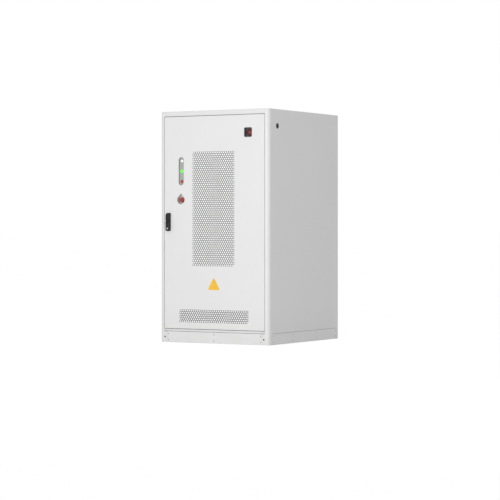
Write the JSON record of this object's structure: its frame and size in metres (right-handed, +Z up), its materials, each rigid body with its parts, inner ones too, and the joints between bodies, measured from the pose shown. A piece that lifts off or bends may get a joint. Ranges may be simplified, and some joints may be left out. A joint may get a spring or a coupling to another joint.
{
  "type": "outdoor battery cabinet",
  "caption": "Free-standing outdoor battery cabinet: plinth, perforated hinged door with swing-lever lock, pilot lamps, stop button, alarm dome, cooling unit and rack of battery modules.",
  "frame": {"origin": "on the floor, under the middle of the whole box, lock lever included", "axes": "+X to the right seen from in front of the door, +Y from the door into the cabinet, +Z up"},
  "size_m": [1.09, 1.292, 2],
  "materials": {
    "body_paint": "smooth light grey powder coat",
    "door_paint": "smooth light grey powder coat",
    "galvanised": "galvanised sheet",
    "screw_steel": "painted steel screw heads",
    "pin_steel": "bright steel",
    "module_case": "dark anodised aluminium case",
    "link_orange": "orange insulated bars",
    "control_paint": "fine textured grey",
    "black_plastic": "fine textured black",
    "dark_plastic": "dark grey",
    "gasket_rubber": "foam rubber",
    "filter_fabric": "light filter mat",
    "tray_paint": "grey",
    "lens_white": "white lens",
    "lens_green": "green lens",
    "lens_red": "red lens",
    "button_red": "red moulded plastic",
    "alarm_red": "dark red lens",
    "lock_black": "black powder coated zinc",
    "key_steel": "polished barrel",
    "fan_black": "black moulded plastic",
    "collar_yellow": "yellow collar"
  },
  "bodies": {
    "cabinet": {"plinth_frame": "galvanised", "plinth_cover_front": "body_paint", "plinth_cover_rear": "body_paint", "plinth_cover_left": "body_paint", "plinth_cover_right": "body_paint", "plinth_screws": "screw_steel", "bottom_pan": "galvanised", "gland_plate": "galvanised", "side_panel_left": "body_paint", "side_panel_right": "body_paint", "side_plug": "dark_plastic", "rear_panel": "body_paint", "roof": "body_paint", "top_rail": "body_paint", "door_sill": "body_paint", "door_frame": "galvanised", "front_posts": "galvanised", "rear_posts": "galvanised", "rack_shelves": "galvanised", "battery_module_1": "module_case", "battery_module_2": "module_case", "battery_module_3": "module_case", "battery_module_4": "module_case", "battery_module_5": "module_case", "battery_module_6": "module_case", "battery_module_7": "module_case", "battery_module_8": "module_case", "module_links": "link_orange", "control_box": "control_paint", "hinge_leaves": "body_paint", "hinge_pins": "pin_steel"},
    "door": {"door_skin": "door_paint", "door_stiffeners": "galvanised", "door_gasket": "gasket_rubber", "tall_grille": "door_paint", "low_grille": "door_paint", "filter_mats": "filter_fabric", "lamp_tray": "tray_paint", "pilot_lamp_white": "lens_white", "pilot_lamp_green": "lens_green", "pilot_lamp_red": "lens_red", "stop_tray": "tray_paint", "stop_collar": "collar_yellow", "alarm_tray": "black_plastic", "alarm_dome": "alarm_red", "handle_plate": "lock_black", "hinge_arms": "door_paint", "lock_case": "dark_plastic", "cooler_housing": "galvanised"},
    "lock_spindle": {"lever_head": "lock_black", "lock_pinion": "pin_steel"},
    "lever": {"lever": "lock_black"},
    "key_barrel": {"key_barrel": "key_steel"},
    "lock_rod_upper": {"lock_rod_upper": "galvanised"},
    "lock_rod_lower": {"lock_rod_lower": "galvanised"},
    "stop_stem": {"stop_stem": "black_plastic"},
    "stop_button": {"stop_button": "button_red"},
    "fan_lower": {"fan_lower": "fan_black"},
    "fan_upper": {"fan_upper": "fan_black"},
    "isolator_knob": {"isolator_knob": "black_plastic"}
  },
  "joints": [
    {"name": "door_hinge", "type": "hinge", "parent": "cabinet", "child": "door", "pos_m": [0.519, -0.61, 1.03725], "axis": [0, 0, 1], "range_deg": [0, 110]},
    {"name": "lever_turn", "type": "hinge", "parent": "door", "child": "lock_spindle", "pos_m": [-0.458, -0.62, 1.1], "axis": [0, -1, 0], "range_deg": [0, 90]},
    {"name": "lever_lift", "type": "hinge", "parent": "lock_spindle", "child": "lever", "pos_m": [-0.458, -0.633, 1.05], "axis": [-1, 0, 0], "range_deg": [0, 40]},
    {"name": "key_turn", "type": "hinge", "parent": "lever", "child": "key_barrel", "pos_m": [-0.458, -0.646, 0.986], "axis": [0, 1, 0], "range_deg": [0, 90]},
    {"name": "upper_rod_slide", "type": "slide", "parent": "door", "child": "lock_rod_upper", "axis": [0, 0, 1], "range_m": [0, 0.01885]},
    {"name": "lower_rod_slide", "type": "slide", "parent": "door", "child": "lock_rod_lower", "axis": [0, 0, -1], "range_m": [0, 0.01885]},
    {"name": "stop_push", "type": "slide", "parent": "door", "child": "stop_stem", "axis": [0, 1, 0], "range_m": [0, 0.005], "stiffness_N_per_m": 600},
    {"name": "stop_twist", "type": "hinge", "parent": "stop_stem", "child": "stop_button", "pos_m": [-0.333, -0.602, 1.234], "axis": [0, 1, 0], "range_deg": [0, 45], "stiffness_Nm_per_rad": 0.05},
    {"name": "fan_lower_spin", "type": "hinge", "parent": "door", "child": "fan_lower", "pos_m": [-0.003, -0.549, 0.905], "axis": [0, 1, 0], "continuous": true},
    {"name": "fan_upper_spin", "type": "hinge", "parent": "door", "child": "fan_upper", "pos_m": [-0.003, -0.549, 1.405], "axis": [0, 1, 0], "continuous": true},
    {"name": "isolator_turn", "type": "hinge", "parent": "cabinet", "child": "isolator_knob", "pos_m": [-0.3, -0.308, 1.7], "axis": [0, -1, 0], "range_deg": [-90, 0]}
  ],
  "couplings": [
    {"joint": "upper_rod_slide", "follows": "lever_turn", "m_per_rad": 0.012},
    {"joint": "lower_rod_slide", "follows": "lever_turn", "m_per_rad": 0.012}
  ]
}
